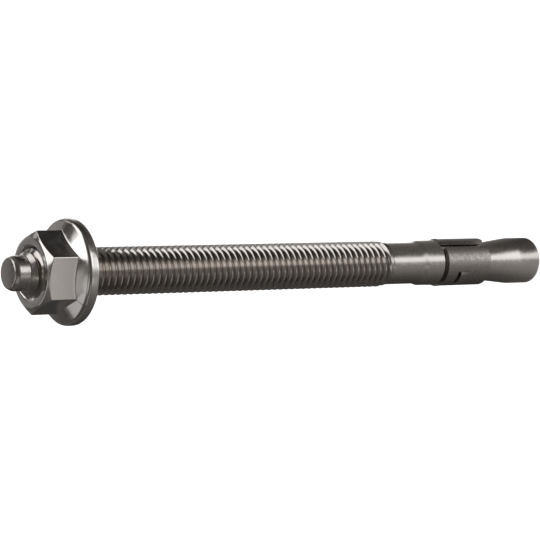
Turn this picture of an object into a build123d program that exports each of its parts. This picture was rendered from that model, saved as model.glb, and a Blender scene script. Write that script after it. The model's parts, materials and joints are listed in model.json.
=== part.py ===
from build123d import *
import math
import os

# Wedge anchor, M10 x 135: a cold-formed bolt, a hexagon flange nut and a wrapped expansion clip.
# The anchor stands on its cone end. Z runs along its axis, z = 0 is the flat end of the cone and the
# threaded end is at the top. Sizes are in millimetres and angles in degrees.

# Bolt: overall length and wedge
overall_length = 135.3
cone_diameter = 10.25         # full width of the wedge, a free fit in the drilled hole
cone_land_length = 6.4        # straight stretch at full width
cone_half_angle = 6.55        # slope from the land up to the neck
cone_blend_radius = 12.0      # soft bend between the land and the slope
cone_end_rounding = 0.9       # rounded edge of the end face

# Bolt: neck, collar and plain shank
neck_diameter = 7.9
neck_length = 11.07
neck_root_radius = 0.4        # hollow where the neck meets the collar's shoulder
shoulder_height = 1.05        # radial step from the neck out to the collar, it stops the clip
collar_length = 4.5
collar_taper = 0.075          # radial, the collar narrows towards the shank
collar_edge_break = 0.15
collar_ramp_length = 1.2      # slope from the collar down to the shank
shank_length = 8.4            # plain stretch from the collar's end to the thread's run-out

# Bolt: thread envelope and dog point
thread_diameter = 9.95        # over the crests of the rolled M10 thread
thread_rise = 0.425           # radial, from the plain shank up to the crests
runout_length = 2.6
lead_angle = 45.0             # cone from the crests down to the dog point
dog_step = 1.375              # radial, from the crests down to the dog point, which is below the roots
dog_length = 3.3
dog_edge_length = 1.0         # worn edge of the tip's face, along the axis
dog_edge_inset = 0.5          # and across it

# Flange nut
nut_exposure = 5.1            # the bolt stands this far out of the nut
nut_height = 9.9
nut_across_flats = 15.0
nut_turn = -90.0              # direction that one flat faces
nut_chamfer_angle = 30.0
nut_chamfer_inset = 0.45      # radial, from the flats to the edge of the nut's round top face
flange_overhang = 2.24        # radial, from the hexagon's corners to the rim
flange_rim_height = 2.35
flange_angle = 22.0
flange_rounding = 0.75
thread_clearance = 0.075      # radial, between the bolt's crests and the nut's bore
mouth_step = 0.65             # radial, from the bore out to the countersink's edge
mouth_depth = 0.65

# Expansion clip
clip_thickness = 1.025
clip_clearance = 0.25         # radial, the clip turns freely on the neck
clip_cone_clearance = 0.04    # radial, where the clip's lower edge comes near the cone
clip_play = 0.8               # axial, below the collar's shoulder
clip_seam_width = 2.2
clip_seam_direction = -27.0   # direction that the open seam faces
clip_edge_break = 0.2         # bevel of the lower edge, which rides up the cone
clip_lip_rise = 0.08          # the sheared upper edge flares by this much
clip_lip_length = 0.9
lug_seam_angle = 97.0         # from the seam to the middle of each locking lug
lug_width_angle = 37.0
lug_setback = 3.6             # from the clip's upper edge down to a lug's free end
lug_length = 3.4
lug_height = 0.45             # a lug's free end stands out by this much
lug_window_length = 0.5       # slot sheared open above the free end

# Sizes that follow from those above
neck_radius = neck_diameter / 2
collar_radius = neck_radius + shoulder_height
thread_radius = thread_diameter / 2
shank_radius = thread_radius - thread_rise
dog_radius = thread_radius - dog_step
cone_slope = math.tan(math.radians(cone_half_angle))
neck_bottom = cone_land_length + (cone_diameter / 2 - neck_radius) / cone_slope
collar_bottom = neck_bottom + neck_length
collar_top = collar_bottom + collar_length
thread_bottom = collar_top + shank_length
thread_full = thread_bottom + runout_length
dog_bottom = overall_length - dog_length
lead_bottom = dog_bottom - dog_step / math.tan(math.radians(lead_angle))
nut_top = overall_length - nut_exposure
nut_bottom = nut_top - nut_height
nut_corner_radius = nut_across_flats / 2 / math.cos(math.radians(30))
bore_radius = thread_radius + thread_clearance
flange_radius = nut_corner_radius + flange_overhang
clip_inner = neck_radius + clip_clearance
clip_outer = clip_inner + clip_thickness
clip_top = collar_bottom - clip_play
clip_bottom = neck_bottom - (clip_clearance - clip_cone_clearance) / cone_slope
lug_top = clip_top - lug_setback
lug_bottom = lug_top - lug_length


def section(points):
    """Closed face in the XZ plane from (radius, height) points."""
    return make_face(Polyline(*[(radius, 0, height) for radius, height in points], close=True))


def turned(points, roundings=()):
    """Solid of revolution about Z from (radius, height) points.

    roundings holds pairs of a corner among the points and the radius of its arc."""
    outline = section(points)
    for (radius, height), rounding in roundings:
        corner = outline.vertices().sort_by_distance((radius, 0, height))[0]
        outline = fillet(corner, rounding)
    return revolve(outline, axis=Axis.Z)


def anchor_bolt():
    """One cold-formed piece: wedge, neck, collar, shank, thread envelope and dog point."""
    cone_end = (cone_diameter / 2, 0)
    land_end = (cone_diameter / 2, cone_land_length)
    neck_root = (neck_radius, collar_bottom)
    outline = [
        (0, 0),
        cone_end,
        land_end,
        (neck_radius, neck_bottom),
        neck_root,
        (collar_radius - collar_edge_break, collar_bottom),
        (collar_radius, collar_bottom + collar_edge_break),
        (collar_radius - collar_taper, collar_top),
        (shank_radius, collar_top + collar_ramp_length),
        (shank_radius, thread_bottom),
        (thread_radius, thread_full),
        (thread_radius, lead_bottom),
        (dog_radius, dog_bottom),
        (dog_radius, overall_length - dog_edge_length),
        (dog_radius - dog_edge_inset, overall_length),
        (0, overall_length),
    ]
    return turned(outline, [
        (cone_end, cone_end_rounding),
        (land_end, cone_blend_radius),
        (neck_root, min(neck_root_radius, shoulder_height / 2)),
    ])


def hexagon_body():
    """Hexagon whose top corners are cut back by the turned chamfer."""
    hexagon = extrude(Rot(0, 0, nut_turn + 30) * RegularPolygon(nut_corner_radius, 6), nut_height)
    face_radius = nut_across_flats / 2 - nut_chamfer_inset
    corner_drop = (nut_corner_radius - face_radius) * math.tan(math.radians(nut_chamfer_angle))
    crown = turned([
        (0, nut_bottom),
        (nut_corner_radius, nut_bottom),
        (nut_corner_radius, nut_top - corner_drop),
        (face_radius, nut_top),
        (0, nut_top),
    ])
    return Pos(0, 0, nut_bottom) * hexagon & crown


def flange():
    """Round flange that slopes up into the hexagon."""
    rim_top = nut_bottom + flange_rim_height
    slope_top = rim_top + (flange_radius - bore_radius) * math.tan(math.radians(flange_angle))
    lower_edge = (flange_radius, nut_bottom)
    upper_edge = (flange_radius, rim_top)
    rounding = min(flange_rounding, flange_rim_height / 3)
    outline = [(0, nut_bottom), lower_edge, upper_edge, (bore_radius, slope_top), (0, slope_top)]
    return turned(outline, [(lower_edge, rounding), (upper_edge, rounding)])


def flange_nut():
    """Hexagon and forged flange in one piece, bored for the thread and countersunk at both ends."""
    bore = turned([
        (0, nut_bottom),
        (bore_radius + mouth_step, nut_bottom),
        (bore_radius, nut_bottom + mouth_depth),
        (bore_radius, nut_top - mouth_depth),
        (bore_radius + mouth_step, nut_top),
        (0, nut_top),
    ])
    return hexagon_body() + flange() - bore


def clip_sleeve():
    """Strip wrapped round the neck, with an open seam along its whole length."""
    sleeve = turned([
        (clip_inner, clip_bottom),
        (clip_outer - clip_edge_break, clip_bottom),
        (clip_outer, clip_bottom + clip_edge_break),
        (clip_outer, clip_top - clip_lip_length),
        (clip_outer + clip_lip_rise, clip_top),
        (clip_inner, clip_top),
    ])
    seam = Box(2 * clip_outer, clip_seam_width, 2 * clip_top, align=(Align.MIN, Align.CENTER, Align.CENTER))
    return sleeve - Rot(0, 0, clip_seam_direction) * seam


def lug_sector(points, middle):
    """Part of a turned ring, as wide as a lug and centred on the direction middle."""
    start = Rot(0, 0, middle - lug_width_angle / 2)
    return start * revolve(section(points), axis=Axis.Z, revolution_arc=lug_width_angle)


def expansion_clip():
    """Wrapped strip with two locking lugs, sheared free at their upper ends and bent outwards."""
    clip = clip_sleeve()
    window = [
        (neck_radius, lug_bottom),
        (clip_outer + lug_height, lug_bottom),
        (clip_outer + lug_height, lug_top + lug_window_length),
        (neck_radius, lug_top + lug_window_length),
    ]
    tongue = [
        (clip_inner, lug_bottom),
        (clip_outer, lug_bottom),
        (clip_outer + lug_height, lug_top),
        (clip_inner + lug_height, lug_top),
    ]
    for side in (-1, 1):
        middle = clip_seam_direction + side * lug_seam_angle
        clip = clip - lug_sector(window, middle) + lug_sector(tongue, middle)
    return clip


pieces = {
    "anchor_bolt": anchor_bolt(),
    "flange_nut": flange_nut(),
    "expansion_clip": expansion_clip(),
}
os.makedirs("parts", exist_ok=True)
for name, piece in pieces.items():
    export_step(piece, f"parts/{name}.step")
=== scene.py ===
import bmesh
import bpy
import json
import math
from mathutils import Matrix, Vector


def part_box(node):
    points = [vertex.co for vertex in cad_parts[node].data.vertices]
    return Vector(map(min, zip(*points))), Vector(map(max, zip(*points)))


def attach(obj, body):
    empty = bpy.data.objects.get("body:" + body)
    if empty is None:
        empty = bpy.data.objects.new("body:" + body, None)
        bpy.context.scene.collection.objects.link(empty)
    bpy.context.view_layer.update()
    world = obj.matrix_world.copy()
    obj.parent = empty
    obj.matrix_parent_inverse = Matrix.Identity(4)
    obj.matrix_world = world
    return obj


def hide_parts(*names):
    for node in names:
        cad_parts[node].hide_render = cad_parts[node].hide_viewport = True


# Looks of a wedge anchor. Sizes are in millimetres and angles in degrees unless a comment says
# otherwise, and METRES turns them into Blender's units. The anchor stands on its cone end, with Z
# along its axis; an angle round the axis is measured from +X towards +Y.

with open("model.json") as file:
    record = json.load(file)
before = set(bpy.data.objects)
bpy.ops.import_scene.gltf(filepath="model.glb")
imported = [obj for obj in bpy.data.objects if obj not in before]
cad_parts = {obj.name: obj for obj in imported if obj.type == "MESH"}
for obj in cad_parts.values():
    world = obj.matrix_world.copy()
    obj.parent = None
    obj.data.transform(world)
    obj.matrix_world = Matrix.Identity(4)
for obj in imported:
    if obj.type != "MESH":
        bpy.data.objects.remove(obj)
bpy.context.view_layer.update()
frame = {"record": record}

METRES = 0.001
FULL_TURN = 360.0
RIGHT_ANGLE = 90.0


# ---------------------------------------------------------------- sizes read from the frame

def node_box(node):
    """Lowest and highest corner of a CAD node, in millimetres."""
    low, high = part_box(node)
    return Vector(low) / METRES, Vector(high) / METRES


def mount(name):
    """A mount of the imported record."""
    return next(m for m in frame["record"]["mounts"] if m["name"] == name)


nut_low, nut_high = node_box("flange_nut")
clip_low, clip_high = node_box("expansion_clip")

TIP = node_box("anchor_bolt")[1].z
CONE_RADIUS = mount("cone_land")["dims"]["r_mm"]
DOG_RADIUS = mount("dog_point")["dims"]["r_mm"]
THREAD_RADIUS = mount("anchor_thread")["dims"]["r_mm"]
NUT_BOTTOM = nut_low.z
NUT_TOP = nut_high.z
FLANGE_RADIUS = (nut_high.x - nut_low.x) / 2
CLIP_BOTTOM = clip_low.z
CLIP_TOP = clip_high.z


# ---------------------------------------------------------------- sizes of the bolt

# A blend is how far from a corner its curve starts and ends.
CONE_LAND_LENGTH = 6.4
CONE_HALF_ANGLE = 6.55
CONE_END_BLEND = 0.9
CONE_BLEND = 0.75             # at the land's upper end
NECK_RADIUS = 3.95
NECK_BLEND = 0.5              # at the neck's lower end
SHOULDER_BLEND = 0.35         # in the corner under the collar
CLIP_PLAY = 0.8               # between the clip and the shoulder above it
COLLAR_BOTTOM = CLIP_TOP + CLIP_PLAY
COLLAR_LENGTH = 4.5
COLLAR_RADIUS = 5.0
COLLAR_TOP_RADIUS = 4.925
COLLAR_BOTTOM_BLEND = 0.3
COLLAR_TOP_BLEND = 0.12
COLLAR_RAMP = 1.2             # slope from the collar down to the shank
COLLAR_RAMP_BLEND = 0.4
SHANK_RADIUS = 4.55
SHANK_LENGTH = 8.4
THREAD_START = COLLAR_BOTTOM + COLLAR_LENGTH + SHANK_LENGTH
DOG_LENGTH = 3.3
DOG_BOTTOM = TIP - DOG_LENGTH
DOG_ROOT_BLEND = 0.15
DOG_EDGE_LENGTH = 1.0         # worn edge of the tip's face, along the axis and across it
DOG_EDGE_INSET = 0.5
DOG_EDGE_BLEND = 0.35
TIP_BLEND = 0.3
BOLT_COLUMNS = 120            # round the axis

PITCH = 1.5
THREAD_ROOT_RADIUS = 4.05
THREAD_RUNOUT = 3.2           # the thread rises to its full form over this length
CREST_HEIGHT = 115.98         # height of one crest where it crosses the angle below
CREST_ANGLE = -103.5
CREST_DIP = 0.035             # shallow fold that rolling leaves in the middle of each crest
FLANK_SHARP_ANGLE = 23.0      # edges that turn more than this stay crisp, as the thread's do
# Share of the pitch from a crest's middle, and share of the thread's height there. None is the fold.
THREAD_FORM = [(0.0, None), (0.045, 1.0), (0.08, 0.965), (0.40, 0.06), (0.45, 0.0)]


# ---------------------------------------------------------------- sizes of the nut

NUT_FLATS = 15.0
NUT_TURN = -90.0              # direction that one flat faces
NUT_SIDES = 6
NUT_SIDE_ANGLE = FULL_TURN / NUT_SIDES
NUT_CORNER_ROUNDING = 0.35
NUT_FLAT_STEPS = 16           # columns on each flat
NUT_CORNER_STEPS = 6          # and round each corner
NUT_FACE_INSET = 0.45
NUT_CHAMFER_ANGLE = 30.0
NUT_CHAMFER_BLEND = 0.14
NUT_BORE_RADIUS = 5.05
NUT_CREST_RADIUS = 4.2
NUT_ROOT_SHARE = 0.9          # its roots lie where the bolt's thread is over this share of its height
NUT_MOUTH_RADIUS = 5.7
NUT_MOUTH_SLOPE = 1.0         # the countersink narrows by this much for each millimetre of depth
UPPER_MOUTH_BLEND = 0.12
LOWER_MOUTH_BLEND = 0.1
RIM_HEIGHT = 2.35
RIM_BLEND = 0.75
FLANGE_ANGLE = 22.0
FLANGE_ROOT_BLEND = 0.22      # where the flange meets the hexagon


# ---------------------------------------------------------------- sizes of the clip

CLIP_INNER = 4.2
CLIP_OUTER = 5.225
CLIP_LIP = 0.08
CLIP_LIP_LENGTH = 0.9
CLIP_BOTTOM_ROUNDING = 0.2
SEAM_DIRECTION = -27.0
SEAM_WIDTH = 2.2
LUG_SEAM_ANGLE = 97.0
LUG_WIDTH_ANGLE = 37.0
LUG_SETBACK = 3.6
LUG_LENGTH = 3.4
LUG_TOP = CLIP_TOP - LUG_SETBACK
LUG_BOTTOM = LUG_TOP - LUG_LENGTH
LUG_HEIGHT = 0.45             # a lug's free end stands out by this much
LUG_WINDOW = 0.5              # length of the slot above the free end
LUG_SHEAR = 0.5               # angle of the sheared line along each side of a lug
LUG_ROLL_ANGLE = 3.3          # each side of a lug is rolled over this much of its width
LUG_ROLL_DROP = 0.16
CLIP_EDGE = 0.09              # width of the worn edges
CLIP_EDGE_ANGLE = 40.0        # edges that turn more than this are worn
CLIP_EDGE_SEGMENTS = 2
CLIP_COLUMN_STEP = 3.0        # greatest angle between the mesh's columns
CLIP_ROW_STEP = 0.8           # greatest distance between its rows
LUG_ROW_STEP = 0.34           # and on the lugs
CLIP_ROUNDING_ROWS = (0, 0.15, 0.4, 1)  # shares of the lower edge's rounding that have a row
ANGLE_DIGITS = 6              # columns whose angles agree to so many digits are one
SAME_PLACE = 1e-4             # angles and heights that differ by less count as the same


# ---------------------------------------------------------------- finishes

# Noises repeat so often per metre along X, Y and Z. Each pair of shades, as shares of the colour, and
# each pair of roughnesses is for the places where the noise is low and where it is high.
NOISE_RANGE = (0.3, 0.7)      # low and high noise, for roughness
NOISE_DETAIL = 3.0

BOLT_COLOR = (0.60, 0.57, 0.545)
# Darker colour in the thread's roots: partly grime, partly painted shade where the roots lie in shadow.
ROOT_GRIME_AND_SHADE_COLOR = (0.42, 0.37, 0.33)
ROOT_GRIME_AND_SHADE_RADII = (4.1, 4.5)       # the grime and painted shade in the roots thin out between these radii
ROLLED_LINES = (350, 350, 9000)
ROLLED_DEPTH = 0.0012
ROLLED_SHADES = (0.78, 1.16)
ROLLED_ROUGHNESS = (0.104, 0.1625)
FORGED_MOTTLE = (1700, 1700, 1400)
FORGED_DEPTH = 0.008
FORGED_SHADES = (0.84, 1.1)
FORGED_ROUGHNESS = (0.184, 0.276)
ROLLED_FADE = 2.0             # the forged finish passes into the rolled one over this much thread
DOG_FADE = (0.9, 0.5)         # and back between these distances below the dog point

NUT_COLOR = (0.74, 0.715, 0.695)
NUT_CLOUDS = (500, 500, 500)
NUT_SHADES = (0.9, 1.06)
NUT_ROUGHNESS = (0.12, 0.1875)
NUT_DINTS = (1500, 1500, 1500)
NUT_DINT_DEPTH = 0.002

CLIP_COLOR = (0.42, 0.395, 0.375)
CLIP_PITS = (2300, 2300, 2300)
CLIP_PIT_RANGE = (0.35, 0.65)
CLIP_PIT_DETAIL = 4.0
CLIP_PIT_DEPTH = 0.005
CLIP_SHADES = (0.84, 1.08)
CLIP_ROUGHNESS = (0.5125, 0.328)
CLIP_GRAIN = (5000, 5000, 5000)
CLIP_GRAIN_DEPTH = 0.002


# ---------------------------------------------------------------- mesh tools

SHARP_ANGLE = 38.0            # edges that turn more than this stay crisp
CURVE_STEPS = 5               # edges along the curve of a blend
MERGE_DISTANCE = 1e-6         # in metres
SHORTEST_EDGE = 1e-7          # in metres
LARGEST_FACE_WINS = 100       # weight at which the largest face at a point sets its normal
SAME_AREA = 1e-9              # in square metres, areas that differ by less count as the same


def at(radius, angle, height):
    """Point in metres from cylindrical millimetres."""
    turn = math.radians(angle)
    return Vector((radius * math.cos(turn), radius * math.sin(turn), height)) * METRES


def smooth_rise(share):
    """Smooth rise from 0 to 1 as share goes from 0 to 1."""
    return share * share * (3 - 2 * share)


def rounded(outline):
    """(radius, height) points of an open outline of (radius, height, reach) corners.

    A corner with a reach is replaced by a curve that starts and ends that far from it."""
    points = []
    for index, (radius, height, reach) in enumerate(outline):
        corner = Vector((radius, height))
        if not reach:
            points.append(corner)
            continue
        before = Vector(outline[index - 1][:2])
        after = Vector(outline[index + 1][:2])
        start = corner + (before - corner).normalized() * reach
        end = corner + (after - corner).normalized() * reach
        for step in range(CURVE_STEPS + 1):
            share = step / CURVE_STEPS
            points.append(start.lerp(corner, share).lerp(corner.lerp(end, share), share))
    return [(point.x, point.y) for point in points]


def skin(name, columns, loop_sections, sharp_angle):
    """Mesh object through columns of points, one column after the other round the axis.

    The last column lies on the first one's place, and points that meet are merged. loop_sections
    joins each column's last point to its first."""
    mesh = bmesh.new()
    rows = [[mesh.verts.new(point) for point in column] for column in columns]
    count = len(rows[0])
    last = count if loop_sections else count - 1
    for left, right in zip(rows, rows[1:]):
        for low in range(last):
            high = (low + 1) % count
            mesh.faces.new((left[low], right[low], right[high], left[high]))
    bmesh.ops.remove_doubles(mesh, verts=mesh.verts, dist=MERGE_DISTANCE)
    bmesh.ops.dissolve_degenerate(mesh, edges=mesh.edges, dist=SHORTEST_EDGE)
    bmesh.ops.recalc_face_normals(mesh, faces=mesh.faces)
    return finished(name, mesh, sharp_angle)


def finished(name, mesh, sharp_angle):
    """Object made from a bmesh, smooth but for its sharp edges."""
    data = bpy.data.meshes.new(name)
    mesh.to_mesh(data)
    mesh.free()
    data.shade_smooth()
    data.set_sharp_from_angle(angle=math.radians(sharp_angle))
    piece = bpy.data.objects.new(name, data)
    bpy.context.scene.collection.objects.link(piece)
    normals = piece.modifiers.new("face_weighted_normals", "WEIGHTED_NORMAL")
    normals.keep_sharp = True
    normals.weight = LARGEST_FACE_WINS
    normals.thresh = SAME_AREA
    return piece


# ---------------------------------------------------------------- thread

def thread_rows(low, high, angle):
    """(phase, height) rows of a right-hand thread at one angle, at least from low to high.

    Each angle has as many rows, so the first and last ones lie outside that stretch."""
    rise = PITCH * (angle - CREST_ANGLE) / FULL_TURN
    first = math.floor((low - CREST_HEIGHT) / PITCH) - 1
    last = first + math.ceil((high - low) / PITCH) + 2
    shares = [share for share, depth in THREAD_FORM]
    phases = sorted([-share for share in shares[1:]] + shares)
    for turn in range(first, last + 1):
        for phase in phases:
            yield abs(phase), CREST_HEIGHT + rise + (turn + phase) * PITCH


def thread_radius(phase, root, crest, dip):
    """Radius of the thread at a phase, from root to crest, with the crest's fold."""
    depth = dict(THREAD_FORM)[phase]
    return crest - dip if depth is None else root + (crest - root) * depth


def runout(height, start):
    """Share of the thread's form that is there, rising from its start."""
    return smooth_rise(min(1.0, max(0.0, (height - start) / THREAD_RUNOUT)))


# ---------------------------------------------------------------- bolt

def bolt_columns():
    """Columns of the bolt: wedge, neck, collar and shank, then the thread, then the dog point."""
    neck_bottom = CONE_LAND_LENGTH + (CONE_RADIUS - NECK_RADIUS) / math.tan(math.radians(CONE_HALF_ANGLE))
    collar_top = COLLAR_BOTTOM + COLLAR_LENGTH
    thread_end = DOG_BOTTOM - (THREAD_ROOT_RADIUS - DOG_RADIUS)
    lower = rounded([
        (0, 0, 0),
        (CONE_RADIUS, 0, CONE_END_BLEND),
        (CONE_RADIUS, CONE_LAND_LENGTH, CONE_BLEND),
        (NECK_RADIUS, neck_bottom, NECK_BLEND),
        (NECK_RADIUS, COLLAR_BOTTOM, SHOULDER_BLEND),
        (COLLAR_RADIUS, COLLAR_BOTTOM, COLLAR_BOTTOM_BLEND),
        (COLLAR_TOP_RADIUS, collar_top, COLLAR_TOP_BLEND),
        (SHANK_RADIUS, collar_top + COLLAR_RAMP, COLLAR_RAMP_BLEND),
        (SHANK_RADIUS, THREAD_START, 0),
    ])
    upper = rounded([
        (THREAD_ROOT_RADIUS, thread_end, 0),
        (DOG_RADIUS, DOG_BOTTOM, DOG_ROOT_BLEND),
        (DOG_RADIUS, TIP - DOG_EDGE_LENGTH, DOG_EDGE_BLEND),
        (DOG_RADIUS - DOG_EDGE_INSET, TIP, TIP_BLEND),
        (0, TIP, 0),
    ])
    columns = []
    for step in range(BOLT_COLUMNS + 1):
        angle = FULL_TURN * step / BOLT_COLUMNS
        thread = []
        for phase, height in thread_rows(THREAD_START, thread_end, angle):
            height = min(max(height, THREAD_START), thread_end)
            full = thread_radius(phase, THREAD_ROOT_RADIUS, THREAD_RADIUS, CREST_DIP)
            radius = SHANK_RADIUS + (full - SHANK_RADIUS) * runout(height, THREAD_START)
            thread.append((min(radius, DOG_RADIUS + DOG_BOTTOM - height), height))
        columns.append([at(radius, angle, height) for radius, height in lower + thread + upper])
    return columns


# ---------------------------------------------------------------- nut

def corner_start():
    """Angle from the middle of a flat to where the corner's rounding starts."""
    flat = NUT_FLATS / 2
    side = (flat - NUT_CORNER_ROUNDING) * math.tan(math.radians(NUT_SIDE_ANGLE / 2))
    return math.degrees(math.atan(side / flat))


def hexagon_radius(angle):
    """Radius of the nut's hexagon at an angle, its corners slightly rounded."""
    half = NUT_SIDE_ANGLE / 2
    flat = NUT_FLATS / 2
    off_flat = abs((angle - NUT_TURN + half) % NUT_SIDE_ANGLE - half)
    if off_flat <= corner_start():
        return flat / math.cos(math.radians(off_flat))
    corner_centre = (flat - NUT_CORNER_ROUNDING) / math.cos(math.radians(half))
    off_corner = math.radians(half - off_flat)
    side = corner_centre * math.sin(off_corner)
    return corner_centre * math.cos(off_corner) + math.sqrt(NUT_CORNER_ROUNDING ** 2 - side ** 2)


def nut_angles():
    """Angles of the nut's columns, closer together round the hexagon's corners."""
    start = corner_start()
    corner = NUT_SIDE_ANGLE - 2 * start
    offsets = [start * (2 * step / NUT_FLAT_STEPS - 1) for step in range(NUT_FLAT_STEPS + 1)]
    offsets += [start + corner * step / NUT_CORNER_STEPS for step in range(1, NUT_CORNER_STEPS)]
    angles = [NUT_TURN + NUT_SIDE_ANGLE * side + offset for side in range(NUT_SIDES) for offset in offsets]
    return angles + [angles[0] + FULL_TURN]


def nut_thread_radius(phase):
    """Radius of the nut's thread at a phase of the bolt's thread, just clear of it."""
    depth = dict(THREAD_FORM)[phase]
    if depth is None or depth > NUT_ROOT_SHARE:
        return NUT_BORE_RADIUS
    return NUT_CREST_RADIUS


def nut_columns():
    """Columns of the nut: outside from the lower mouth up to the upper one, then down the thread."""
    face_radius = NUT_FLATS / 2 - NUT_FACE_INSET
    chamfer_slope = math.tan(math.radians(NUT_CHAMFER_ANGLE))
    flange_slope = math.tan(math.radians(FLANGE_ANGLE))
    rim_top = NUT_BOTTOM + RIM_HEIGHT
    mouth_depth = (NUT_MOUTH_RADIUS - NUT_BORE_RADIUS) / NUT_MOUTH_SLOPE
    thread_low = NUT_BOTTOM + mouth_depth
    thread_high = NUT_TOP - mouth_depth
    columns = []
    for angle in nut_angles():
        hexagon = hexagon_radius(angle)
        outside = rounded([
            (NUT_BORE_RADIUS, thread_low, 0),
            (NUT_MOUTH_RADIUS, NUT_BOTTOM, LOWER_MOUTH_BLEND),
            (FLANGE_RADIUS, NUT_BOTTOM, RIM_BLEND),
            (FLANGE_RADIUS, rim_top, RIM_BLEND),
            (hexagon, rim_top + (FLANGE_RADIUS - hexagon) * flange_slope, FLANGE_ROOT_BLEND),
            (hexagon, NUT_TOP - (hexagon - face_radius) * chamfer_slope, NUT_CHAMFER_BLEND),
            (face_radius, NUT_TOP, NUT_CHAMFER_BLEND),
            (NUT_MOUTH_RADIUS, NUT_TOP, UPPER_MOUTH_BLEND),
            (NUT_BORE_RADIUS, thread_high, 0),
        ])
        inside = []
        for phase, height in thread_rows(thread_low, thread_high, angle):
            height = min(max(height, thread_low), thread_high)
            depth = min(height - NUT_BOTTOM, NUT_TOP - height)
            mouth = NUT_MOUTH_RADIUS - NUT_MOUTH_SLOPE * depth
            inside.append((max(nut_thread_radius(phase), mouth), height))
        columns.append([at(radius, angle, height) for radius, height in outside + inside[::-1]])
    return columns


# ---------------------------------------------------------------- clip

def split(low, high, most):
    """Values from low to high, no further apart than most."""
    count = max(1, math.ceil((high - low) / most))
    return [low + (high - low) * step / count for step in range(count + 1)]


def lug_places():
    """Lower and upper angle of each lug, on the way round from one side of the seam to the other."""
    middles = (SEAM_DIRECTION + LUG_SEAM_ANGLE, SEAM_DIRECTION - LUG_SEAM_ANGLE + FULL_TURN)
    return [(middle - LUG_WIDTH_ANGLE / 2, middle + LUG_WIDTH_ANGLE / 2) for middle in middles]


def clip_surface(height):
    """Outer radius of the clip at a height, away from its lugs."""
    flare = CLIP_LIP * max(0.0, 1 - (CLIP_TOP - height) / CLIP_LIP_LENGTH)
    low = max(0.0, CLIP_BOTTOM + CLIP_BOTTOM_ROUNDING - height)
    tuck = CLIP_BOTTOM_ROUNDING - math.sqrt(CLIP_BOTTOM_ROUNDING ** 2 - low ** 2)
    return CLIP_OUTER + flare - tuck


def clip_angles():
    """Angles of the clip's columns, with one at each side of the seam and of the lugs."""
    half_seam = math.degrees(math.asin(SEAM_WIDTH / 2 / CLIP_OUTER))
    stops = [SEAM_DIRECTION + half_seam]
    for low, high in lug_places():
        for edge in (0, LUG_SHEAR, LUG_SHEAR + LUG_ROLL_ANGLE):
            stops += [low + edge, high - edge]
    stops.append(SEAM_DIRECTION - half_seam + FULL_TURN)
    stops.sort()
    return sorted({round(angle, ANGLE_DIGITS) for low, high in zip(stops, stops[1:])
                   for angle in split(low, high, CLIP_COLUMN_STEP)})


def clip_levels():
    """Heights of the clip's rows, with one at each end of the lugs and their windows."""
    lip = CLIP_TOP - CLIP_LIP_LENGTH
    levels = [CLIP_BOTTOM + CLIP_BOTTOM_ROUNDING * share for share in CLIP_ROUNDING_ROWS]
    levels += split(levels[-1], LUG_BOTTOM, CLIP_ROW_STEP)[1:]
    levels += split(LUG_BOTTOM, LUG_TOP, LUG_ROW_STEP)[1:]
    levels += split(LUG_TOP + LUG_WINDOW, lip, CLIP_ROW_STEP)
    return levels + [CLIP_TOP - CLIP_LIP_LENGTH / 2, CLIP_TOP]


def inside_lug(angle, margin):
    """Whether an angle lies on a lug, at least a margin from its sides."""
    return any(low + margin - SAME_PLACE < angle < high - margin + SAME_PLACE
               for low, high in lug_places())


def stands_out(angle, height):
    """How far a lug stands out of the strip's round at an angle and a height."""
    if not inside_lug(angle, LUG_SHEAR) or not LUG_BOTTOM < height < LUG_TOP + SAME_PLACE:
        return 0.0
    share = (height - LUG_BOTTOM) / LUG_LENGTH
    low, high = next((low, high) for low, high in lug_places() if low < angle < high)
    side = min(angle - low, high - angle) - LUG_SHEAR
    roll = LUG_ROLL_DROP * max(0.0, 1 - side / LUG_ROLL_ANGLE)
    return (LUG_HEIGHT - roll) * smooth_rise(share)


def is_open(angle, height):
    """Whether a place lies in a lug's window or in the sheared lines along its sides."""
    if not inside_lug(angle, 0) or not LUG_BOTTOM < height < LUG_TOP + LUG_WINDOW:
        return False
    return height > LUG_TOP or not inside_lug(angle, LUG_SHEAR)


def clip_strip():
    """The wrapped strip with its seam, its two lugs and their windows."""
    angles = clip_angles()
    levels = clip_levels()
    mesh = bmesh.new()
    outer = {}
    inner = {}
    for grid in (outer, inner):
        for a, angle in enumerate(angles):
            for h, height in enumerate(levels):
                surface = clip_surface(height) if grid is outer else CLIP_INNER
                grid[a, h] = mesh.verts.new(at(surface + stands_out(angle, height), angle, height))
    shown = {(a, h) for a in range(len(angles) - 1) for h in range(len(levels) - 1)
             if not is_open((angles[a] + angles[a + 1]) / 2, (levels[h] + levels[h + 1]) / 2)}
    for a, h in shown:
        mesh.faces.new([outer[a, h], outer[a + 1, h], outer[a + 1, h + 1], outer[a, h + 1]])
        mesh.faces.new([inner[a, h + 1], inner[a + 1, h + 1], inner[a + 1, h], inner[a, h]])
        edges = {
            (a - 1, h): ((a, h + 1), (a, h)),
            (a + 1, h): ((a + 1, h), (a + 1, h + 1)),
            (a, h - 1): ((a, h), (a + 1, h)),
            (a, h + 1): ((a + 1, h + 1), (a, h + 1)),
        }
        for neighbour, (start, end) in edges.items():
            if neighbour not in shown:
                mesh.faces.new([outer[end], outer[start], inner[start], inner[end]])
    bmesh.ops.delete(mesh, geom=[v for v in mesh.verts if not v.link_faces], context="VERTS")
    bmesh.ops.recalc_face_normals(mesh, faces=mesh.faces)
    piece = finished("expansion_clip_strip", mesh, SHARP_ANGLE)
    bevel = piece.modifiers.new("worn_edges", "BEVEL")
    bevel.width = CLIP_EDGE * METRES
    bevel.segments = CLIP_EDGE_SEGMENTS
    bevel.limit_method = "ANGLE"
    bevel.angle_limit = math.radians(CLIP_EDGE_ANGLE)
    piece.modifiers.move(1, 0)    # the worn edges come before the weighted normals
    return piece


# ---------------------------------------------------------------- materials

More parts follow.
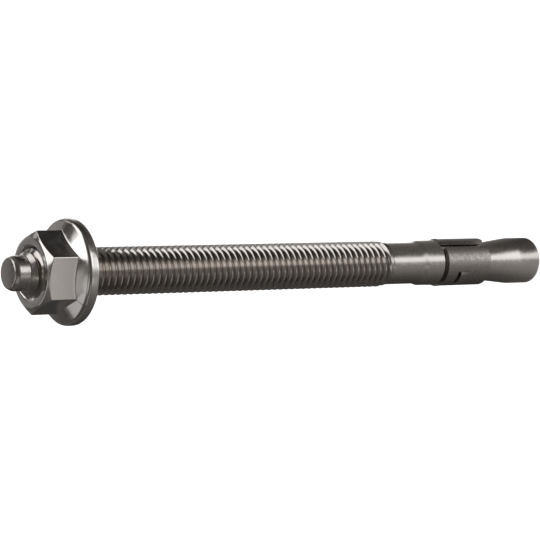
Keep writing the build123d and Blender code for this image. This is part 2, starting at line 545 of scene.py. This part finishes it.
class Shading:
    """Node tree of one material, with short calls for the nodes that the steels share."""

    def __init__(self, name):
        self.material = bpy.data.materials.new(name)
        self.material.use_nodes = True
        self.nodes = self.material.node_tree.nodes
        self.links = self.material.node_tree.links
        self.shader = self.nodes["Principled BSDF"]
        self.place = self.nodes.new("ShaderNodeTexCoord").outputs["Object"]

    def node(self, kind, settings, inputs):
        """New node with its settings, and its inputs as numbers, colours or other nodes' outputs."""
        made = self.nodes.new(kind)
        for name, value in settings.items():
            setattr(made, name, value)
        for name, value in inputs.items():
            if isinstance(value, bpy.types.NodeSocket):
                self.links.new(value, made.inputs[name])
            else:
                made.inputs[name].default_value = value
        return made

    def noise(self, repeats, detail=NOISE_DETAIL):
        """Noise from 0 to 1 with so many repeats per metre along X, Y and Z."""
        spread = self.node("ShaderNodeMapping", {}, {"Vector": self.place, "Scale": repeats})
        grain = self.node("ShaderNodeTexNoise", {}, {
            "Vector": spread.outputs["Vector"], "Scale": 1.0, "Detail": detail})
        return grain.outputs["Fac"]

    def ramp(self, value, low, high, start=0.0, end=1.0):
        """Smooth passage from start to end as value goes from low to high."""
        made = self.node("ShaderNodeMapRange", {"interpolation_type": "SMOOTHSTEP"}, {
            "Value": value, "From Min": low, "From Max": high, "To Min": start, "To Max": end})
        return made.outputs["Result"]

    def maths(self, operation, first, second):
        """Sum, product or the like of two values."""
        made = self.node("ShaderNodeMath", {"operation": operation}, {})
        for socket, value in zip(made.inputs, (first, second)):
            if isinstance(value, bpy.types.NodeSocket):
                self.links.new(value, socket)
            else:
                socket.default_value = value
        return made.outputs["Value"]

    def height(self):
        """Height above the cone's end, in metres."""
        split_up = self.node("ShaderNodeSeparateXYZ", {}, {"Vector": self.place})
        return split_up.outputs["Z"]

    def radius(self):
        """Distance from the axis, in metres."""
        level = self.node("ShaderNodeMapping", {}, {"Vector": self.place, "Scale": (1, 1, 0)})
        length = self.node("ShaderNodeVectorMath", {"operation": "LENGTH"}, {
            "Vector": level.outputs["Vector"]})
        return length.outputs["Value"]

    def tint(self, factor, first, second):
        """Mix of two colours."""
        made = self.nodes.new("ShaderNodeMix")
        made.data_type = "RGBA"
        self.links.new(factor, made.inputs["Factor"])
        for name, color in (("A", first), ("B", second)):
            if isinstance(color, bpy.types.NodeSocket):
                self.links.new(color, made.inputs[name])
            else:
                made.inputs[name].default_value = (*color, 1)
        return made.outputs["Result"]

    def finish(self, color, roughness, height):
        """Metal of that colour and roughness, bumped by a height in metres."""
        bump = self.node("ShaderNodeBump", {}, {"Height": height, "Distance": 1.0})
        self.shader.inputs["Metallic"].default_value = 1.0
        self.links.new(color, self.shader.inputs["Base Color"])
        self.links.new(roughness, self.shader.inputs["Roughness"])
        self.links.new(bump.outputs["Normal"], self.shader.inputs["Normal"])
        return self.material


def shades(color, shares):
    """The darker and the lighter shade of a colour."""
    return [tuple(channel * share for channel in color) for share in shares]


def bolt_steel():
    """Rolled thread with grime and painted shade darkening its roots, fine lines round the axis, and satin
    where it was forged.
    """
    look = Shading("bolt_steel")
    height = look.height()
    fade = (THREAD_START * METRES, (THREAD_START + ROLLED_FADE) * METRES)
    above_shank = look.ramp(height, *fade)
    dog_fade = [(DOG_BOTTOM - distance) * METRES for distance in DOG_FADE]
    below_dog = look.ramp(height, *dog_fade, 1.0, 0.0)
    in_thread = look.maths("MULTIPLY", above_shank, below_dog)
    grime_and_shade_radii = [radius * METRES for radius in ROOT_GRIME_AND_SHADE_RADII]
    root = look.ramp(look.radius(), *grime_and_shade_radii, 1.0, 0.0)
    # Mask of the thread's roots, where grime and painted shade darken the colour.
    root_grime_and_shade = look.maths("MULTIPLY", root, in_thread)
    rolled = look.noise(ROLLED_LINES)
    mottled = look.noise(FORGED_MOTTLE)
    clean = look.tint(mottled, *shades(BOLT_COLOR, FORGED_SHADES))
    lined = look.tint(rolled, *shades(BOLT_COLOR, ROLLED_SHADES))
    bare = look.tint(in_thread, clean, lined)
    # The roots take the darker colour: grime, and painted shade in the thread's hollows.
    color = look.tint(root_grime_and_shade, bare, ROOT_GRIME_AND_SHADE_COLOR)
    smooth = look.ramp(rolled, *NOISE_RANGE, *ROLLED_ROUGHNESS)
    satin = look.ramp(mottled, *NOISE_RANGE, *FORGED_ROUGHNESS)
    gloss = look.node("ShaderNodeMix", {"data_type": "FLOAT"}, {
        "Factor": in_thread, "A": satin, "B": smooth})
    lines = look.maths("MULTIPLY", rolled, ROLLED_DEPTH * METRES)
    dents = look.maths("MULTIPLY", mottled, look.ramp(height, *fade, FORGED_DEPTH * METRES, 0.0))
    return look.finish(color, gloss.outputs["Result"], look.maths("ADD", lines, dents))


def nut_steel():
    """Bright tumbled steel with faint clouds and small dints."""
    look = Shading("nut_steel")
    clouds = look.noise(NUT_CLOUDS)
    dints = look.noise(NUT_DINTS)
    color = look.tint(clouds, *shades(NUT_COLOR, NUT_SHADES))
    gloss = look.ramp(clouds, *NOISE_RANGE, *NUT_ROUGHNESS)
    return look.finish(color, gloss, look.maths("MULTIPLY", dints, NUT_DINT_DEPTH * METRES))


def clip_steel():
    """Stamped strip with a finely pitted, matt face."""
    look = Shading("clip_steel")
    pits = look.noise(CLIP_PITS, CLIP_PIT_DETAIL)
    grain = look.noise(CLIP_GRAIN)
    color = look.tint(look.ramp(pits, *CLIP_PIT_RANGE), *shades(CLIP_COLOR, CLIP_SHADES))
    gloss = look.ramp(pits, *CLIP_PIT_RANGE, *CLIP_ROUGHNESS)
    rough = look.maths("MULTIPLY", pits, CLIP_PIT_DEPTH * METRES)
    fine = look.maths("MULTIPLY", grain, CLIP_GRAIN_DEPTH * METRES)
    return look.finish(color, gloss, look.maths("ADD", rough, fine))


# ---------------------------------------------------------------- studio

VIEW_BEARING = -79.66         # direction from the anchor to the camera, seen from above
VIEW_HEIGHT_ANGLE = 34.88     # the camera looks down by this much
VIEW_ROLL = 91.55             # the anchor lies across the picture, its tip to the left
CAMERA_BEARING = -79.75       # the camera's place: an angle, the distance from the axis and a height
CAMERA_REACH = 441.6
CAMERA_HEIGHT = 379.6
LENS = 168.37
SENSOR = 36.0
NEAREST_VIEW = 0.01           # in metres

FLOOR_TONE = (0.82, 0.82, 0.82, 1)
FLOOR_ROUGHNESS = 0.9
FLOOR_GLOW = 0.92             # added for the camera and for reflections
FLOOR_RADIUS = 3000.0
FLOOR_SIDES = 64

# Brightness of the surroundings at the sine of the height angle.
WORLD_TONES = [(0.0, 0.12), (0.25, 0.09), (0.6, 0.06), (1.0, 0.14)]
ROOM_WARMTH = (0.0, 0.05, 0.10)  # share of red, green and blue that the dimmest tones lack

# Side angle, height angle, width, height and brightness of each softbox. A side angle turns about
# the axis from the camera's side.
SOFTBOX_DISTANCE = 700.0
SOFTBOXES = {
    "softbox_upper": (106.0, 52.0, 480.0, 760.0, 1.3),
    "softbox_back": (139.0, 26.0, 190.0, 200.0, 0.4),
    "softbox_flange": (148.0, 62.0, 200.0, 240.0, 1.4),
    "softbox_lower": (-151.0, 58.0, 240.0, 460.0, 0.43),
    "softbox_overhead": (-52.0, 69.0, 260.0, 240.0, 0.42),
    "softbox_front": (-48.0, 26.0, 560.0, 180.0, 0.25),
    "softbox_rear": (172.0, 22.0, 460.0, 340.0, 0.18),
}

# Reflector cards, flat rings on the floor round the foot, seen only by reflections. Each ring has its
# inner radius and its brightness at side angles.
CARD_RINGS = {
    "cards_foot": (5.4, [
        (-150, 0.05), (-120, 0.07), (-80, 0.11), (-60, 0.17), (-40, 0.26), (-20, 0.33), (0, 0.4),
        (10, 1.2), (20, 1.2), (29, 0.3), (38, 0.10), (80, 0.06), (100, 0.08), (120, 0.16), (140, 0.20)]),
    "cards_cone": (12.5, [
        (-150, 0.05), (-120, 0.06), (-80, 0.10), (-60, 0.16), (-40, 0.26), (-20, 0.33), (0, 0.5),
        (10, 1.5), (32, 1.5), (42, 0.4), (50, 0.10), (80, 0.06), (100, 0.10), (120, 0.17), (140, 0.22)]),
    "cards_shank": (24.0, [
        (-150, 0.05), (-120, 0.05), (-80, 0.09), (-60, 0.15), (-40, 0.22), (-20, 0.28), (0, 0.4),
        (10, 1.4), (26, 1.4), (36, 0.35), (46, 0.14), (80, 0.12), (100, 0.13), (120, 0.18), (140, 0.20)]),
    "cards_flange": (205.0, [
        (-150, 0.04), (-120, 0.06), (-80, 0.09), (-50, 0.15), (-30, 0.25), (-8, 0.22), (0, 0.5),
        (6, 1.2), (36, 1.2), (46, 0.35), (56, 0.08), (100, 0.025), (118, 0.04), (135, 0.16)]),
    "cards_nut": (221.5, [
        (-150, 0.04), (-120, 0.06), (-80, 0.09), (-50, 0.12), (-33, 0.25), (-26, 0.57), (-15, 0.57),
        (-8, 0.2), (0, 0.15), (10, 0.1), (60, 0.06), (100, 0.025), (118, 0.04), (135, 0.16)]),
    "cards_dog": (238.0, [
        (-150, 0.04), (-120, 0.06), (-80, 0.09), (-50, 0.12), (-30, 0.25), (-24, 0.55), (-17, 0.55),
        (-10, 0.3), (0, 0.35), (6, 1.0), (12, 1.5), (34, 1.5), (44, 0.35), (56, 0.08), (100, 0.025),
        (118, 0.04), (135, 0.16)]),
}
# Bright card on the far side, the same in each ring. It goes on past 180 degrees, which is -180.
FAR_CARD_START = [(150, 0.9), (180, 0.9)]
FAR_CARD_END = [(-174, 0.9), (-164, 0.06)]
CARD_OUTER = 2900.0
CARD_LIFT = 0.05              # above the floor
CARD_BRIGHTNESS = 1.5         # of the brightest tone, at which a ramp's colour is 1
CARD_COLUMNS = 96             # round the foot


def add_camera():
    """Camera at the photo's viewing angle."""
    data = bpy.data.cameras.new("camera")
    data.lens = LENS
    data.sensor_width = SENSOR
    data.clip_start = NEAREST_VIEW
    camera = bpy.data.objects.new("camera", data)
    bpy.context.scene.collection.objects.link(camera)
    bearing = Matrix.Rotation(math.radians(VIEW_BEARING + RIGHT_ANGLE), 4, "Z")
    tilt = Matrix.Rotation(math.radians(RIGHT_ANGLE - VIEW_HEIGHT_ANGLE), 4, "X")
    roll = Matrix.Rotation(math.radians(-VIEW_ROLL), 4, "Z")
    place = Matrix.Translation(at(CAMERA_REACH, CAMERA_BEARING, CAMERA_HEIGHT))
    camera.matrix_world = place @ bearing @ tilt @ roll
    bpy.context.scene.camera = camera


def shader_nodes(name):
    """New material with its nodes and links."""
    material = bpy.data.materials.new(name)
    material.use_nodes = True
    return material, material.node_tree.nodes, material.node_tree.links


def floor_material():
    """Pale floor that is white to the camera, and still takes the shadow.

    It is white to reflections too, but for the cards that lie over it."""
    material, nodes, links = shader_nodes("pale_floor")
    paper = nodes["Principled BSDF"]
    paper.inputs["Base Color"].default_value = FLOOR_TONE
    paper.inputs["Roughness"].default_value = FLOOR_ROUGHNESS
    paper.inputs["Specular IOR Level"].default_value = 0.0
    path = nodes.new("ShaderNodeLightPath")
    camera_or_glossy = nodes.new("ShaderNodeMath")
    camera_or_glossy.operation = "MAXIMUM"
    seen = nodes.new("ShaderNodeMath")
    seen.operation = "MAXIMUM"
    lift = nodes.new("ShaderNodeEmission")
    lift.inputs["Strength"].default_value = FLOOR_GLOW
    none = nodes.new("ShaderNodeEmission")
    none.inputs["Strength"].default_value = 0.0
    choose = nodes.new("ShaderNodeMixShader")
    total = nodes.new("ShaderNodeAddShader")
    links.new(path.outputs["Is Camera Ray"], camera_or_glossy.inputs[0])
    links.new(path.outputs["Is Glossy Ray"], camera_or_glossy.inputs[1])
    links.new(camera_or_glossy.outputs["Value"], seen.inputs[0])
    links.new(path.outputs["Is Transmission Ray"], seen.inputs[1])
    links.new(seen.outputs["Value"], choose.inputs["Fac"])
    links.new(none.outputs["Emission"], choose.inputs[1])
    links.new(lift.outputs["Emission"], choose.inputs[2])
    links.new(paper.outputs["BSDF"], total.inputs[0])
    links.new(choose.outputs["Shader"], total.inputs[1])
    links.new(total.outputs["Shader"], nodes["Material Output"].inputs["Surface"])
    return material


def add_floor():
    """Large round floor under the anchor."""
    mesh = bmesh.new()
    bmesh.ops.create_circle(mesh, cap_ends=True, segments=FLOOR_SIDES, radius=FLOOR_RADIUS * METRES)
    data = bpy.data.meshes.new("floor")
    mesh.to_mesh(data)
    mesh.free()
    data.materials.append(floor_material())
    floor = bpy.data.objects.new("floor", data)
    bpy.context.scene.collection.objects.link(floor)


def add_softbox(name, side_angle, height_angle, width, height, brightness):
    """Softbox that faces the middle of the anchor and looks as bright as a glow of that strength."""
    bearing = VIEW_BEARING + side_angle
    data = bpy.data.lights.new(name, "AREA")
    data.shape = "RECTANGLE"
    data.size = width * METRES
    data.size_y = height * METRES
    data.energy = brightness * math.pi * data.size * data.size_y
    lamp = bpy.data.objects.new(name, data)
    bpy.context.scene.collection.objects.link(lamp)
    middle = at(0, 0, TIP / 2)
    level = math.sin(math.radians(height_angle)) * SOFTBOX_DISTANCE
    reach = math.cos(math.radians(height_angle)) * SOFTBOX_DISTANCE
    lamp.location = middle + at(reach, bearing, level)
    lamp.rotation_euler = (lamp.location - middle).to_track_quat("Z", "Y").to_euler()


def surroundings(brightness):
    """Colour of a card or of the room: white where it is bright, slightly warm where it is dim."""
    return [brightness * (1 - warmth * (1 - brightness)) for warmth in ROOM_WARMTH]


def set_stops(ramp, tones):
    """Stops of a colour ramp from (position, brightness) pairs. The ramp has its first stops already."""
    stops = ramp.color_ramp.elements
    for index, (position, brightness) in enumerate(tones):
        stop = stops[index] if index < len(stops) else stops.new(1.0)
        stop.position = position
        stop.color = (*surroundings(brightness), 1)


def card_material(name, tones):
    """Glow whose brightness changes with the angle round the foot.

    The gradient goes from 0 to 1 as the angle goes from -180 to 180 degrees."""
    material, nodes, links = shader_nodes(name)
    nodes.remove(nodes["Principled BSDF"])
    place = nodes.new("ShaderNodeTexCoord")
    sweep = nodes.new("ShaderNodeTexGradient")
    sweep.gradient_type = "RADIAL"
    ramp = nodes.new("ShaderNodeValToRGB")
    emission = nodes.new("ShaderNodeEmission")
    emission.inputs["Strength"].default_value = CARD_BRIGHTNESS
    set_stops(ramp, [(0.5 + angle / FULL_TURN, tone / CARD_BRIGHTNESS) for angle, tone in tones])
    links.new(place.outputs["Object"], sweep.inputs["Vector"])
    links.new(sweep.outputs["Color"], ramp.inputs["Fac"])
    links.new(ramp.outputs["Color"], emission.inputs["Color"])
    links.new(emission.outputs["Emission"], nodes["Material Output"].inputs["Surface"])
    return material


def add_card_ring(name, inner, outer, tones):
    """One ring of cards, with its angle 0 turned to the camera's side."""
    mesh = bmesh.new()
    angles = [FULL_TURN * step / CARD_COLUMNS for step in range(CARD_COLUMNS)]
    near, far = [[mesh.verts.new(at(radius, angle, CARD_LIFT)) for angle in angles]
                 for radius in (inner, outer)]
    for step in range(CARD_COLUMNS):
        after = (step + 1) % CARD_COLUMNS
        mesh.faces.new((near[step], far[step], far[after], near[after]))
    data = bpy.data.meshes.new(name)
    mesh.to_mesh(data)
    mesh.free()
    data.materials.append(card_material(name, tones))
    ring = bpy.data.objects.new(name, data)
    ring.rotation_euler.z = math.radians(VIEW_BEARING)
    ring.visible_camera = False
    ring.visible_diffuse = False
    ring.visible_shadow = False
    ring.visible_transmission = False
    bpy.context.scene.collection.objects.link(ring)


def add_cards():
    """All the rings, each as far as the next one."""
    limits = [inner for inner, tones in CARD_RINGS.values()] + [CARD_OUTER]
    for index, (name, (inner, tones)) in enumerate(CARD_RINGS.items()):
        add_card_ring(name, inner, limits[index + 1], FAR_CARD_END + tones + FAR_CARD_START)


def add_world():
    """Dim grey surroundings, whose brightness changes with the height angle."""
    world = bpy.data.worlds.new("studio")
    world.use_nodes = True
    nodes, links = world.node_tree.nodes, world.node_tree.links
    place = nodes.new("ShaderNodeTexCoord")
    height = nodes.new("ShaderNodeSeparateXYZ")
    ramp = nodes.new("ShaderNodeValToRGB")
    set_stops(ramp, WORLD_TONES)
    links.new(place.outputs["Generated"], height.inputs["Vector"])
    links.new(height.outputs["Z"], ramp.inputs["Fac"])
    links.new(ramp.outputs["Color"], nodes["Background"].inputs["Color"])
    bpy.context.scene.world = world


# ---------------------------------------------------------------- assembly

bolt = skin("threaded_bolt", bolt_columns(), False, FLANK_SHARP_ANGLE)
bolt.data.materials.append(bolt_steel())
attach(bolt, "bolt")
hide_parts("anchor_bolt")

nut = skin("hexagon_flange_nut", nut_columns(), True, SHARP_ANGLE)
nut.data.materials.append(nut_steel())
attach(nut, "nut")
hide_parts("flange_nut")

clip = clip_strip()
clip.data.materials.append(clip_steel())
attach(clip, "clip")
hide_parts("expansion_clip")

add_floor()
add_cards()
add_world()
add_camera()
for name, values in SOFTBOXES.items():
    add_softbox(name, *values)
bpy.context.scene.view_settings.view_transform = "Standard"
